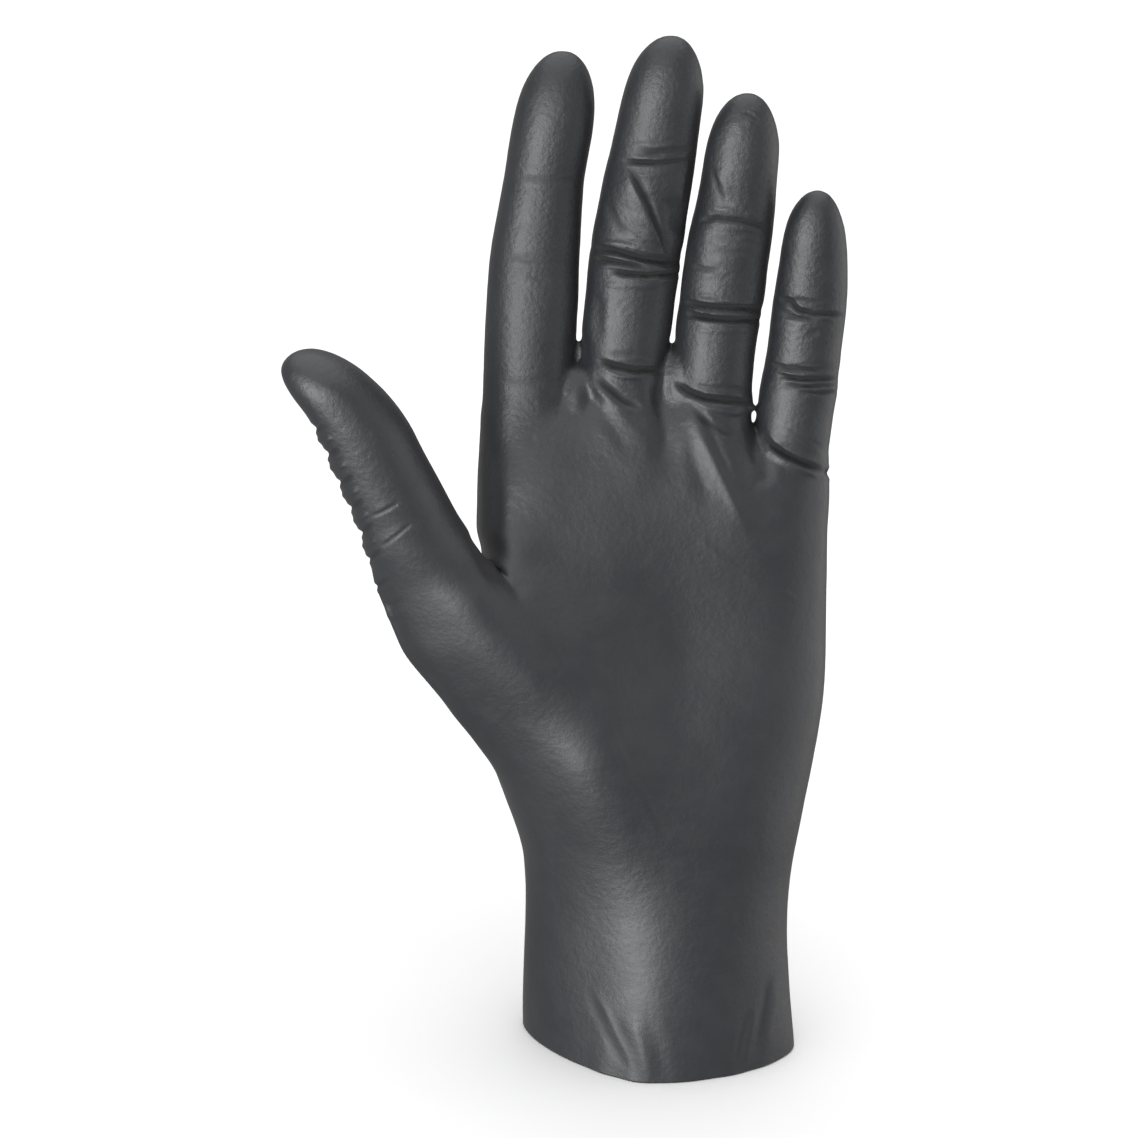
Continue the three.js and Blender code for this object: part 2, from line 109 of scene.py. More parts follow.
# How far the palm's front is moved towards the viewer after the broad smoothing, in millimetres, by pixel row
# and pixel column of the picture, less than 0 for away.
MOULD_COLUMNS = [
    395, 425, 440, 455, 470, 485, 500, 515, 530, 545, 560, 590, 620, 650, 680, 710, 740, 780, 840,
]
MOULD = {
    400: [0, 0, 0, 0, 0, 0, 0, 0, 0, 0, 0, 0, 0, 0, 0, 0, 0, 0, 0],
    440: [0, 0, 0, 0, 0, 1.6, 3.2, 2.8, 2.3, 2.1, 1.9, 1.6, -0.7, -0.2, 0.9, -1, 1.1, 0.6, 0],
    480: [0, 0, 0, 0, 0, 3, 5.4, 4.5, 3.7, 3, 2.4, 1.9, 0.9, 0.4, 1, -1, -0.1, 0.3, 0],
    520: [0, 0, 0, 0, 0, 3.1, 5.6, 3.8, 2.3, 1.7, 1.2, 1.1, 1.4, 1.8, 1.7, 1.1, 0.8, 0.4, 0],
    560: [0, 0, 0, 0, 0.3, 4, 8, 5, 1.6, -0.1, -0.9, -0.7, 0.4, 1.5, 1.9, 1.7, 1, 0.4, 0],
    600: [-2.4, -1.1, 0, 1.1, 2.3, 3, 3.5, 3.7, 3.3, 1, -0.6, -1.5, -0.5, 0.9, 1.6, 1.6, 0.9, 0.3, 0],
    640: [-2.4, -2.3, -1.7, -0.8, 0.3, 1.6, 2.7, 3.2, 3.2, 2.5, 1.2, -0.3, 0, 1.2, 1.2, 1.3, 0.8, 0.2, 0],
    680: [0, -1.5, -2.3, -2.2, -1.5, -0.4, 0.7, 1.6, 2.2, 2.1, 1.4, -0.1, -0.1, 1, 1.7, 1.7, 0.9, 0.2, 0],
    720: [0, 0, 0, -1, -1.8, -1.6, -1, -0.3, 0.5, 0.9, 0.8, 0.6, 0.8, 1.7, 2.2, 1.8, 0.9, 0.2, 0],
    760: [0, 0, 0, 0, 0, -0.8, -1.2, -1.2, -0.7, -0.2, 0.4, 2.4, 3.4, 3.6, 2.9, 1.8, 0.9, 0.2, 0],
    800: [0, 0, 0, 0, 0, 0, 0, -1, -1.5, -1.2, -0.3, 2.2, 4, 4.4, 3.6, 2.2, 1.2, 0.5, 0],
    840: [0, 0, 0, 0, 0, 0, 0, 0, -0.2, -1.4, -1.2, 1.2, 3, 3.4, 2.9, 1.9, 1, 0.3, 0],
    880: [0, 0, 0, 0, 0, 0, 0, 0, -0.8, -1.6, -1.6, 0, 1.6, 2, 1.6, 0.9, 0.4, 0, 0],
    920: [0, 0, 0, 0, 0, 0, 0, 0, -1, -1.8, -1.9, -1.2, 0.3, 0.8, 0.6, 0.2, 0, 0, 0],
    960: [0, 0, 0, 0, 0, 0, 0, 0, -1, -1.6, -1.9, -1.7, -0.4, 0.5, 0.4, 0.1, 0, 0, 0],
    1000: [0, 0, 0, 0, 0, 0, 0, 0, -1, -1.6, -1.9, -1.9, -0.7, 0.4, 0.4, 0.1, 0, 0, 0],
    1060: [0, 0, 0, 0, 0, 0, 0, 0, -0.6, -1, -1.2, -1.2, -0.5, 0.2, 0.2, 0, 0, 0, 0],
    1140: [0, 0, 0, 0, 0, 0, 0, 0, -0.4, -0.6, -0.7, -0.7, -0.3, 0.1, 0.1, 0, 0, 0, 0],
}
MOULD_STEP = 6.0  # spacing in pixels of the finer table made from it
MOULD_ROUNDS = 5  # how many times that table is averaged

# Edges of each form as the photograph shows them, by pixel: row, left edge, right edge. The skin is moved
# sideways to meet them before it gets its folds.
EDGES = {
    "index": [
        (60, 539, 583), (90, 521, 594), (120, 513, 594), (150, 507.5, 589.5), (180, 503, 584.5),
        (210, 497.5, 582), (240, 492, 580.5), (270, 488.5, 579), (300, 486.5, 578.5), (330, 485, 577),
        (350, 484, 576.5), (370, 483.5, 578),
    ],
    "middle": [
        (60, 635.5, 698.5), (90, 623.5, 703.5), (120, 616.5, 700.5), (150, 610, 697), (180, 602.5, 693),
        (210, 597, 688), (240, 591.5, 684), (270, 587.5, 679.5), (300, 585, 675), (330, 581.5, 672),
        (350, 580.5, 673), (370, 579, 672.5),
    ],
    "ring": [
        (120, 714.5, 775), (150, 705, 779.5), (180, 700.5, 777), (210, 694.5, 775), (240, 687.5, 772),
        (270, 683, 767.5), (300, 679.5, 764), (330, 675, 758.5), (350, 673.7, 755.5), (370, 673.2, 753.5),
        (390, 674, 752), (402, 674, 753.5), (409, 674, 755.5), (418, 674, 748.5),
    ],
    "little": [
        (210, 791.5, 839), (240, 782.5, 846.5), (270, 778, 848), (300, 773, 847), (330, 769.5, 844),
        (350, 767, 841.5), (370, 763, 839.5), (390, 759, 838), (402, 757.5, 836), (409, 757, 835),
        (418, 753, 833.5), (430, 752, 832),
    ],
    "thumb": [
        (350, 297, 326), (370, 280, 363.5), (390, 288, 385), (410, 301.5, 401), (430, 314, 413.5),
        (460, 327.5, 429), (490, 341, 445.5), (520, 353.5, 462),
    ],
    "palm": [
        (440, 479.5, 830), (470, 477.5, 829.5), (500, 477, 829.5), (530, 476.5, 827.5),
    ],
    "body": [
        (560, 368, 827), (600, 380.5, 826.5), (650, 401.5, 826), (700, 441.5, 823), (750, 480, 815),
        (800, 506, 805), (850, 523, 795), (900, 525.5, 788), (950, 524, 787.5), (1000, 522.5, 790.5),
        (1040, 523, 794),
    ],
}
THUMB_EDGE = 470  # pixel column that lies between the thumb and the index finger
THUMB_ROOT = 548  # pixel row at which the thumb joins the palm
EDGE_BAND = 3  # height in pixels of the bands in which the skin's own edges are found
EDGE_ROUNDS = 20  # how many times the sideways moves are averaged
# Pixel rows down to which each finger is moved as a form of its own
FINGER_ROOTS = {"index": 380, "middle": 380, "ring": 410, "little": 410}


def smooth_step(low, high, value):
    t = np.clip((value - low) / (high - low), 0.0, 1.0)
    return t * t * (3 - 2 * t)


def picture_place(points):
    """Where each point, in millimetres, is seen in the picture."""
    from_camera = points - CAMERA_PLACE
    depth = from_camera @ FORWARD
    across = PICTURE_SIDE / 2 + FOCAL_PIXELS * (from_camera @ RIGHTWARD) / depth
    down = PICTURE_SIDE / 2 - FOCAL_PIXELS * (from_camera @ UPWARD) / depth
    return np.stack([across, down], axis=1)


def facing_camera(points, normals):
    to_camera = CAMERA_PLACE - points
    to_camera /= np.linalg.norm(to_camera, axis=1)[:, None]
    return (normals * to_camera).sum(axis=1)


class Skin:
    """A mesh's points as arrays, in millimetres."""

    def __init__(self, mesh):
        self.mesh = mesh
        self.count = len(mesh.vertices)
        flat = np.empty(self.count * 3, np.float32)
        mesh.vertices.foreach_get("co", flat)
        self.points = flat.reshape(-1, 3).astype(float) * 1000
        ends = np.empty(len(mesh.edges) * 2, np.int32)
        mesh.edges.foreach_get("vertices", ends)
        self.first, self.second = ends.reshape(-1, 2).T
        self.neighbours = np.maximum(np.bincount(ends, minlength=self.count), 1)

    def spread(self, values, passes, share=0.5):
        """Values averaged over neighbours, again and again. share may be one number or one for each point."""
        share = share if np.isscalar(share) else share[:, None]
        values = values.reshape(self.count, -1)
        for _ in range(passes):
            mean = np.stack(
                [
                    np.bincount(self.first, v[self.second], self.count)
                    + np.bincount(self.second, v[self.first], self.count)
                    for v in values.T
                ],
                axis=1,
            )
            values = values + share * (mean / self.neighbours[:, None] - values)
        return values

    def smooth(self, passes, share=0.5):
        """Smooths the points, and puts back what plain smoothing takes off rounded forms."""
        once = self.spread(self.points, passes, share)
        self.points = once + self.spread(self.points - once, passes, share)

    def store(self):
        self.mesh.vertices.foreach_set("co", (self.points / 1000).astype(np.float32).ravel())
        self.mesh.update()

    def normals(self):
        self.store()
        flat = np.empty(self.count * 3, np.float32)
        self.mesh.vertex_normals.foreach_get("vector", flat)
        return flat.reshape(-1, 3).astype(float)


def applied(mesh, name, **settings):
    """The mesh with one modifier applied to it."""
    holder = bpy.data.objects.new("holder", mesh)
    bpy.context.scene.collection.objects.link(holder)
    modifier = holder.modifiers.new(name, name)
    for key, value in settings.items():
        setattr(modifier, key, value)
    graph = bpy.context.evaluated_depsgraph_get()
    made = bpy.data.meshes.new_from_object(holder.evaluated_get(graph), depsgraph=graph)
    bpy.data.objects.remove(holder)
    bpy.data.meshes.remove(mesh)
    return made


def remeshed(mesh, cell):
    return applied(mesh, "REMESH", mode="VOXEL", voxel_size=cell / 1000, adaptivity=0.0)


def outside_of(node):
    """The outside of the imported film, closed below by a skirt, as a mesh of mostly four-sided faces."""
    bm = bmesh.new()
    bm.from_mesh(node.data)
    bmesh.ops.remove_doubles(bm, verts=bm.verts, dist=1e-6)
    rim = [f for f in bm.faces if all(v.co.z < 2e-5 for v in f.verts)]
    bmesh.ops.delete(bm, geom=rim, context="FACES")
    start = min(bm.verts, key=lambda v: v.co.x)
    found, todo = {start}, [start]
    while todo:
        for edge in todo.pop().link_edges:
            for v in edge.verts:
                if v not in found:
                    found.add(v)
                    todo.append(v)
    inside = [v for v in bm.verts if v not in found]
    bmesh.ops.delete(bm, geom=inside, context="VERTS")
    steps = 3
    for _ in range(steps):
        edge = [e for e in bm.edges if e.is_boundary]
        made = bmesh.ops.extrude_edge_only(bm, edges=edge)["geom"]
        lower = [v for v in made if isinstance(v, bmesh.types.BMVert)]
        bmesh.ops.translate(bm, verts=lower, vec=(0, 0, -SKIRT / steps / 1000))
    bmesh.ops.holes_fill(bm, edges=[e for e in bm.edges if e.is_boundary])
    bmesh.ops.join_triangles(
        bm, faces=bm.faces, angle_face_threshold=math.radians(40), angle_shape_threshold=math.radians(50)
    )
    bmesh.ops.recalc_face_normals(bm, faces=bm.faces)
    mesh = bpy.data.meshes.new("outside")
    bm.to_mesh(mesh)
    bm.free()
    return mesh


def passes_for(reach, cell=CELL):
    """How many averaging passes spread a value over that many millimetres."""
    return max(1, round(reach * reach / (0.5 * cell * cell / 2) / 2))


# Folds of the side that the photograph shows, traced by pixel. Columns: stall, or None for all of the skin;
# points; half width in pixels; rise in millimetres, less than 0 for a crease; how far round the form it goes,
# 0 front only, 1 well round the edge.
FRONT_FOLDS = [
    # middle finger, end joint
    ("middle", [(618, 160), (640, 163), (668, 163), (692, 160)], 2.2, -0.50, 0.3),
    ("middle", [(630, 147), (655, 152), (680, 151), (694, 146)], 3.5, -0.30, 0.2),
    ("middle", [(618, 171), (640, 175), (668, 172), (690, 170)], 3.0, 0.22, 0.2),
    ("middle", [(668, 196), (676, 214), (678, 238)], 8.0, -0.6, 0.0),
    ("middle", [(604, 196), (612, 216), (628, 238)], 4.0, -0.22, 0.0),
    ("middle", [(630, 214), (640, 226), (654, 236)], 4.0, 0.16, 0.0),
    # middle finger, middle joint
    ("middle", [(588, 246), (612, 251), (640, 259), (664, 263), (684, 261)], 2.6, -0.95, 1.0),
    ("middle", [(588, 257), (606, 260), (632, 264), (650, 268)], 2.2, -0.62, 0.8),
    ("middle", [(606, 270), (624, 274), (650, 276), (684, 273)], 2.4, -0.85, 0.8),
    ("middle", [(590, 266), (612, 267), (646, 271), (680, 268)], 2.2, 0.30, 0.5),
    ("middle", [(592, 240), (620, 243), (650, 252), (676, 254)], 2.6, 0.32, 0.5),
    ("middle", [(590, 282), (612, 285), (640, 286), (676, 282)], 3.0, 0.22, 0.5),
    ("middle", [(596, 285), (598, 310), (597, 345)], 5.0, -0.30, 0.4),
    # middle finger, root
    (None, [(594, 358), (612, 366), (636, 371), (666, 370)], 2.6, -0.95, 0.3),
    (None, [(602, 371), (622, 377), (646, 378)], 2.6, 0.42, 0.0),
    (None, [(590, 374), (606, 388), (624, 401), (646, 410)], 3.4, -0.55, 0.0),
    (None, [(590, 384), (606, 398), (626, 418), (652, 446)], 6.5, 0.26, 0.0),
    (None, [(582, 386), (598, 406), (616, 432), (634, 462)], 6.5, -0.24, 0.0),
    (None, [(656, 378), (662, 400), (666, 430), (668, 466)], 9.0, -1.0, 0.0),
    # ring finger
    ("ring", [(738, 112), (750, 115), (762, 124)], 2.4, -0.30, 0.4),
    ("ring", [(712, 176), (720, 186), (725, 206)], 2.6, -0.20, 0.0),
    ("ring", [(694, 222), (716, 218), (742, 221), (774, 231)], 2.3, -0.45, 0.4),
    ("ring", [(696, 230), (720, 227), (744, 229), (768, 236)], 2.8, 0.26, 0.2),
    ("ring", [(700, 210), (720, 208), (744, 212), (768, 219)], 3.4, 0.18, 0.2),
    ("ring", [(687, 265), (704, 269), (726, 269)], 2.4, -0.20, 0.2),
    ("ring", [(680, 301), (704, 306), (734, 309), (765, 309)], 2.5, -0.90, 1.0),
    ("ring", [(681, 313), (706, 318), (736, 321), (765, 320)], 2.4, -0.85, 0.8),
    ("ring", [(684, 307), (710, 313), (740, 315), (762, 314)], 2.0, 0.34, 0.5),
    ("ring", [(682, 294), (706, 297), (736, 301), (764, 301)], 3.0, 0.28, 0.5),
    ("ring", [(684, 328), (708, 330), (738, 331), (762, 329)], 3.0, 0.20, 0.5),
    # ring finger, root, and where it meets the little finger
    (None, [(748, 407), (755, 408), (761, 409)], 3.0, 1.0, 1.0),
    (None, [(672, 380), (688, 392), (704, 398), (726, 401), (756, 403)], 2.8, -1.0, 0.2),
    (None, [(692, 402), (708, 408), (732, 413), (750, 412)], 2.8, 0.46, 0.0),
    (None, [(690, 408), (704, 420), (724, 432), (744, 436)], 3.4, -0.36, 0.0),
    (None, [(680, 394), (694, 420), (712, 458), (732, 500), (752, 540)], 5.5, 0.45, 0.0),
    (None, [(692, 398), (707, 424), (722, 458), (738, 488)], 3.2, -0.20, 0.0),
    (None, [(673, 402), (684, 430), (698, 470), (714, 512)], 8.0, -0.40, 0.0),
    (None, [(704, 408), (722, 436), (744, 470)], 5.0, 0.22, 0.0),
    (None, [(696, 536), (722, 560), (754, 580), (802, 600)], 1.8, 0.10, 0.0),
    # little finger
    ("little", [(773, 298), (790, 301), (800, 311), (814, 314), (847, 315)], 2.2, -0.62, 0.5),
    ("little", [(776, 313), (796, 318), (822, 319)], 2.2, -0.30, 0.3),
    ("little", [(778, 306), (794, 310), (806, 318)], 2.2, 0.24, 0.2),
    ("little", [(780, 290), (804, 296), (840, 306)], 3.0, 0.18, 0.2),
    ("little", [(806, 333), (820, 334)], 3.0, -0.20, 0.0),
    ("little", [(766, 362), (786, 368), (814, 370), (832, 368)], 2.0, -0.42, 0.6),
    ("little", [(776, 375), (800, 380), (840, 379)], 2.0, -0.55, 0.7),
    ("little", [(782, 384), (810, 387), (840, 384)], 1.8, -0.36, 0.6),
    ("little", [(800, 392), (820, 393), (840, 391)], 1.8, -0.36, 0.6),
    ("little", [(776, 371), (800, 375), (838, 374)], 1.8, 0.24, 0.4),
    ("little", [(786, 389), (812, 390), (838, 388)], 1.6, 0.22, 0.4),
    (None, [(758, 430), (772, 446), (788, 456), (806, 465), (826, 471)], 2.8, -1.1, 0.4),
    (None, [(768, 452), (788, 464), (806, 472), (824, 478)], 3.2, 0.40, 0.2),
    (None, [(824, 470), (834, 476)], 3.0, -0.5, 0.8),
    # index finger
    ("index", [(510, 175), (532, 179), (560, 181), (584, 181)], 2.4, -0.12, 0.2),
    ("index", [(502, 258), (526, 262), (552, 263), (576, 262)], 2.6, -0.13, 0.2),
    ("index", [(522, 277), (538, 279), (554, 280)], 2.2, -0.10, 0.0),
    ("index", [(496, 378), (516, 383), (536, 383), (556, 380)], 3.4, -0.10, 0.2),
    (None, [(486, 440), (488, 470), (489, 500), (494, 540)], 8.0, -0.30, 0.4),
    # thumb
    (None, [(366, 518), (382, 512), (402, 501)], 1.5, -0.20, 0.0),
    (None, [(378, 549), (396, 536), (416, 520)], 1.5, -0.20, 0.0),
    # thumb, gathers on its outer edge
    (None, [(306, 424), (314, 429), (326, 428)], 2.4, -0.50, 1.0),
    (None, [(319, 450), (328, 455), (340, 450)], 2.4, -0.55, 1.0),
    (None, [(333, 480), (342, 483), (354, 476)], 2.4, -0.55, 1.0),
    (None, [(344, 506), (352, 508), (364, 500)], 2.4, -0.50, 1.0),
    (None, [(354, 532), (361, 533), (374, 524)], 2.4, -0.50, 1.0),
    (None, [(362, 560), (370, 559), (382, 550)], 2.4, -0.45, 1.0),
    (None, [(370, 588), (378, 586), (390, 578)], 2.4, -0.40, 1.0),
    (None, [(312, 438), (322, 441), (334, 438)], 2.6, 0.36, 1.0),
    (None, [(326, 466), (335, 469), (348, 463)], 2.6, 0.36, 1.0),
    (None, [(339, 494), (347, 496), (360, 488)], 2.6, 0.36, 1.0),
    (None, [(350, 520), (357, 521), (370, 512)], 2.6, 0.32, 1.0),
    (None, [(358, 546), (366, 546), (378, 538)], 2.6, 0.32, 1.0),
    (None, [(383, 604), (392, 606), (404, 600)], 3.0, -0.25, 0.8),
    (None, [(384, 614), (394, 617), (406, 610)], 3.0, 0.20, 0.8),
    # palm
    (None, [(604, 716), (624, 762), (646, 812), (663, 846)], 2.4, 0.06, 0.0),
    (None, [(612, 716), (632, 762), (654, 812), (671, 846)], 2.2, -0.05, 0.0),
    # cuff
    (None, [(584, 985), (598, 1014), (614, 1046), (632, 1076)], 4.0, -0.15, 0.0),
    (None, [(592, 982), (606, 1012), (624, 1046), (642, 1078)], 4.0, 0.13, 0.0),
    (None, [(610, 1008), (624, 1038), (640, 1070), (646, 1084)], 4.0, -0.12, 0.0),
    (None, [(626, 1010), (640, 1042), (654, 1084)], 6.0, 0.20, 0.0),
    (None, [(640, 1000), (656, 1040), (668, 1086)], 7.0, -0.18, 0.0),
    (None, [(772, 968), (765, 1010), (756, 1060)], 4.0, -0.26, 0.0),
    (None, [(780, 980), (773, 1016), (764, 1060)], 4.0, 0.22, 0.0),
    (None, [(750, 1006), (742, 1040), (734, 1076)], 4.0, -0.24, 0.0),
    (None, [(757, 1000), (750, 1036), (744, 1072)], 4.0, 0.2, 0.0),
]


# Edges of flaps, where the skin on the left of a downward line stands over the skin on its right. Columns:
# stall, points, half width of the edge, reach of the flap, rise in millimetres.
FLAPS = [
    ("middle", [(619, 158), (632, 176), (646, 204), (658, 234), (668, 262)], 2.2, 24.0, 1.1),
    ("middle", [(690, 150), (688, 170), (684, 190), (681, 214)], 2.0, 12.0, 0.35),
    ("ring", [(722, 200), (718, 184), (714, 166)], 1.8, 12.0, 0.30),
    (None, [(590, 372), (606, 388), (622, 400)], 1.8, 14.0, 0.35),
]


def along(places, line):
    """Distance of each place from a line of points, and its distance along that line from the nearer end."""
    line = np.array(line, float)
    lengths = np.linalg.norm(np.diff(line, axis=0), axis=1)
    total = lengths.sum()
    best = np.full(len(places), 1e9)
    run = np.zeros(len(places))
    start = 0.0
    for a, b, length in zip(line[:-1], line[1:], lengths):
        t = np.clip(((places - a) @ (b - a)) / (length * length), 0, 1)
        away = np.linalg.norm(places - a - t[:, None] * (b - a), axis=1)
        nearer = away < best
        best = np.where(nearer, away, best)
        run = np.where(nearer, start + t * length, run)
        start += length
    return best, np.minimum(run, total - run), total


def fold_rise(places, fold):
    """How far one fold moves each of the places that it reaches. Returns their indexes and the rises."""
    line, half, rise = fold
    low, high = np.min(line, axis=0) - 3.5 * half, np.max(line, axis=0) + 3.5 * half
    near = np.flatnonzero(((places > low) & (places < high)).all(axis=1))
    if not len(near):
        return near, np.zeros(0)
    away, run, total = along(places[near], line)
    t = away / half
    shape = np.exp(-t * t)
    if rise < 0 and half < 12:  # a crease has low shoulders
        shape -= 0.22 * np.exp(-(((t - 2.1) / 0.9) ** 2))
    taper = smooth_step(0, min(0.32 * total, 9 * half), run + 0.15 * half)
    return near, rise * shape * taper


def flap_rise(places, line, half, reach, rise):
    """How far one flap lifts each of the places on its side."""
    low, high = np.min(line, axis=0) - 2 * reach, np.max(line, axis=0) + 2 * reach
    near = np.flatnonzero(((places > low) & (places < high)).all(axis=1))
    away, run, total = along(places[near], line)
    ends = np.array(line, float)
    best = np.full(len(near), 1e9)
    side = np.zeros(len(near))
    for a, b in zip(ends[:-1], ends[1:]):
        t = np.clip(((places[near] - a) @ (b - a)) / ((b - a) @ (b - a)), 0, 1)
        gap = places[near] - a - t[:, None] * (b - a)
        length = np.linalg.norm(gap, axis=1)
        turn = (b[0] - a[0]) * (places[near][:, 1] - a[1]) - (b[1] - a[1]) * (places[near][:, 0] - a[0])
        nearer = length < best
        best = np.where(nearer, length, best)
        side = np.where(nearer, np.sign(turn), side)
    signed = away * side
    shape = smooth_step(-half, half, signed) * np.exp(-((np.maximum(signed, 0) / reach) ** 2))
    under = np.exp(-(((signed + 1.3 * half) / (1.5 * half)) ** 2))
    taper = smooth_step(0, 0.3 * total, run)
    return near, (rise * shape - 0.35 * rise * under) * taper


def label_stalls(points):
    """For each finger, which points are on it: between the middles of the gaps beside it in the picture."""
    across, row = picture_place(points).T
    above = (points[:, 2] > STALLS_FROM) & (points[:, 0] > THUMB_SIDE)
    names = ["index", "middle", "ring", "little"]
    sides = {n: np.array(EDGES[n], float).T for n in names}
    borders = [np.full(len(points), -1e9)]
    for a, b in zip(names[:-1], names[1:]):
        right = np.interp(row, sides[a][0], sides[a][2])
        left = np.interp(row, sides[b][0], sides[b][1])
        borders.append((left + right) / 2)
    borders.append(np.full(len(points), 1e9))
    return {n: above & (across > borders[i]) & (across <= borders[i + 1]) for i, n in enumerate(names)}


def bundle(seed, start, end, spread, count, half, rise, bow=0.0, fan=0.12):
    """Several creases side by side from near start to near end, with a seeded difference between them."""
    rng = random.Random(seed)
    start, end = np.array(start, float), np.array(end, float)
    line = end - start
    side = np.array([-line[1], line[0]]) / np.linalg.norm(line)
    made = []
    for i in range(count):
        off = ((i + 0.5) / count - 0.5) * 2 * spread + rng.uniform(-0.2, 0.2) * spread
        a = rng.uniform(0.0, 0.22)
        b = rng.uniform(0.78, 1.0)
        tilt = rng.uniform(-fan, fan) * np.linalg.norm(line)
        points = []
        for k in range(4):
            t = a + (b - a) * k / 3
            bend = bow * math.copysign(1, off) * abs(off / spread) * 4 * t * (1 - t)
            wave = rng.uniform(-0.12, 0.12) * spread
            points.append(tuple(start + line * t + side * (off + tilt * (t - 0.5) + bend * spread + wave)))
        size = rng.uniform(0.55, 1.0)
        made.append((points, half * rng.uniform(0.8, 1.25), rise * size))
    return made


# Groups of small creases of the front. Columns: stall, seed, from, to, spread to each side, count and half
# width by pixel, rise in millimetres.
FRONT_BUNDLES = [
    ("middle", 3, (592, 250), (680, 262), 14, 5, 1.8, -0.16),
    ("middle", 4, (620, 158), (690, 158), 18, 5, 2.2, -0.14),
    ("middle", 5, (622, 205), (676, 232), 26, 6, 2.4, -0.13),
    ("middle", 6, (590, 355), (662, 362), 9, 4, 1.8, -0.16),
    ("ring", 7, (684, 306), (764, 316), 14, 5, 1.8, -0.16),
    ("ring", 8, (694, 224), (772, 228), 18, 6, 2.0, -0.15),
    ("ring", 9, (690, 262), (766, 272), 22, 5, 2.4, -0.10),
    ("ring", 10, (680, 388), (754, 398), 9, 4, 1.8, -0.16),
    ("little", 11, (776, 306), (844, 314), 12, 4, 1.8, -0.13),
    ("little", 12, (770, 376), (840, 382), 16, 6, 1.6, -0.15),
    ("little", 13, (768, 432), (826, 456), 10, 4, 1.8, -0.12),
    ("index", 14, (504, 178), (586, 182), 12, 4, 2.0, -0.06),
    ("index", 15, (498, 262), (580, 264), 14, 4, 2.0, -0.07),
]

# Folds of the back, by x and z in millimetres: line, half width, rise
BACK_FOLDS = [
    # tension lines between the knuckles
    ([(-18.5, 150.0), (-17.0, 138.0), (-14.0, 122.0)], 1.7, 0.35),
    ([(-20.5, 149.0), (-21.0, 136.0), (-22.0, 122.0)], 1.8, -0.30),
    ([(2.0, 150.0), (2.5, 136.0), (2.0, 118.0)], 1.7, 0.35),
    ([(4.4, 149.0), (6.0, 136.0), (8.0, 122.0)], 1.8, -0.30),
    ([(21.0, 140.0), (19.0, 126.0), (15.0, 110.0)], 1.7, 0.32),
    ([(23.0, 140.0), (24.0, 128.0), (24.0, 114.0)], 1.8, -0.28),
    # wrist
    ([(-26.0, 58.0), (-10.0, 54.0), (8.0, 55.0), (24.0, 59.0)], 1.6, -0.32),
    ([(-24.0, 49.0), (-8.0, 46.0), (10.0, 47.0)], 1.5, -0.28),
    ([(-14.0, 66.0), (4.0, 63.0), (22.0, 66.0)], 1.8, -0.22),
    ([(-22.0, 62.0), (-4.0, 58.5), (16.0, 60.5)], 1.6, 0.22),
    # cuff
    ([(-20.0, -4.0), (-18.0, 12.0), (-12.0, 28.0)], 1.1, -0.5),
    ([(-17.0, -4.0), (-15.0, 10.0), (-9.0, 24.0)], 1.2, 0.42),
    ([(-4.0, -4.0), (-4.0, 10.0), (-1.0, 22.0)], 1.3, -0.4),
    ([(0.0, -4.0), (0.0, 12.0), (4.0, 30.0)], 1.3, 0.4),
    ([(15.0, -4.0), (13.0, 10.0), (9.0, 24.0)], 1.2, -0.45),
    ([(18.0, -4.0), (16.0, 12.0), (12.0, 26.0)], 1.2, 0.38),
]

# Groups of creases on the back, over the finger joints, in millimetres. Columns as for those of the front.
BACK_BUNDLES = [
    ("index", 31, (-35.5, 193.0), (-17.0, 191.5), 5.0, 6, 0.62, -0.34),
    ("index", 32, (-32.5, 215.5), (-17.0, 214.5), 2.6, 4, 0.5, -0.24),
    ("middle", 33, (-13.5, 198.0), (5.0, 196.0), 5.2, 6, 0.62, -0.36),
    ("middle", 34, (-9.5, 219.5), (6.5, 218.0), 2.6, 4, 0.5, -0.26),
    ("ring", 35, (6.0, 188.0), (24.0, 186.5), 4.8, 6, 0.6, -0.34),
    ("ring", 36, (9.5, 208.0), (25.0, 206.5), 2.4, 4, 0.5, -0.24),
    ("little", 37, (24.5, 171.5), (41.0, 170.0), 4.2, 5, 0.56, -0.32),
    ("little", 38, (27.5, 188.5), (42.0, 187.0), 2.2, 4, 0.46, -0.22),
]


def blend_share(points, places):
    """0 away from the places, rising to 1 at them."""
    share = np.zeros(len(points))
    for x, y, z, reach in places:
        away = np.linalg.norm(points - (x, y, z), axis=1) / reach
        share = np.maximum(share, smooth_step(1.0, 0.45, away))
    return share


def front_rise(points, normals):
    """Rise of the front folds at each point, and how deep it lies in creases, which sets the shade painted
    into the creases.
    """
    places = picture_place(points)
    facing = facing_camera(points, normals)
    stalls = label_stalls(points)
    rise = np.zeros(len(points))
    # How deep each point lies in creases, for the shade painted into them.
    crease_shade_depth = np.zeros(len(points))
    folds = [(stall, (line, half, up), around) for stall, line, half, up, around in FRONT_FOLDS]
    for stall, seed, start, end, spread, count, half, up in FRONT_BUNDLES:
        folds += [(stall, fold, 0.5) for fold in bundle(seed, start, end, spread, count, half, up)]
    for stall, fold, around in folds:
        near, moved = fold_rise(places, fold)
        edge = 0.12 - 0.85 * around
        moved = moved * smooth_step(edge - 0.12, edge + 0.16, facing[near])
        if stall:
            moved = moved * stalls[stall][near]
        rise[near] += moved
        if fold[1] < 5:
            crease_shade_depth[near] += np.maximum(0.0, -moved)
    for stall, line, half, reach, up in FLAPS:
        near, moved = flap_rise(places, line, half, reach, up)
        moved = moved * smooth_step(0.0, 0.3, facing[near])
        if stall:
            moved = moved * stalls[stall][near]
        rise[near] += moved
        crease_shade_depth[near] += np.maximum(0.0, -moved)
    return rise, crease_shade_depth


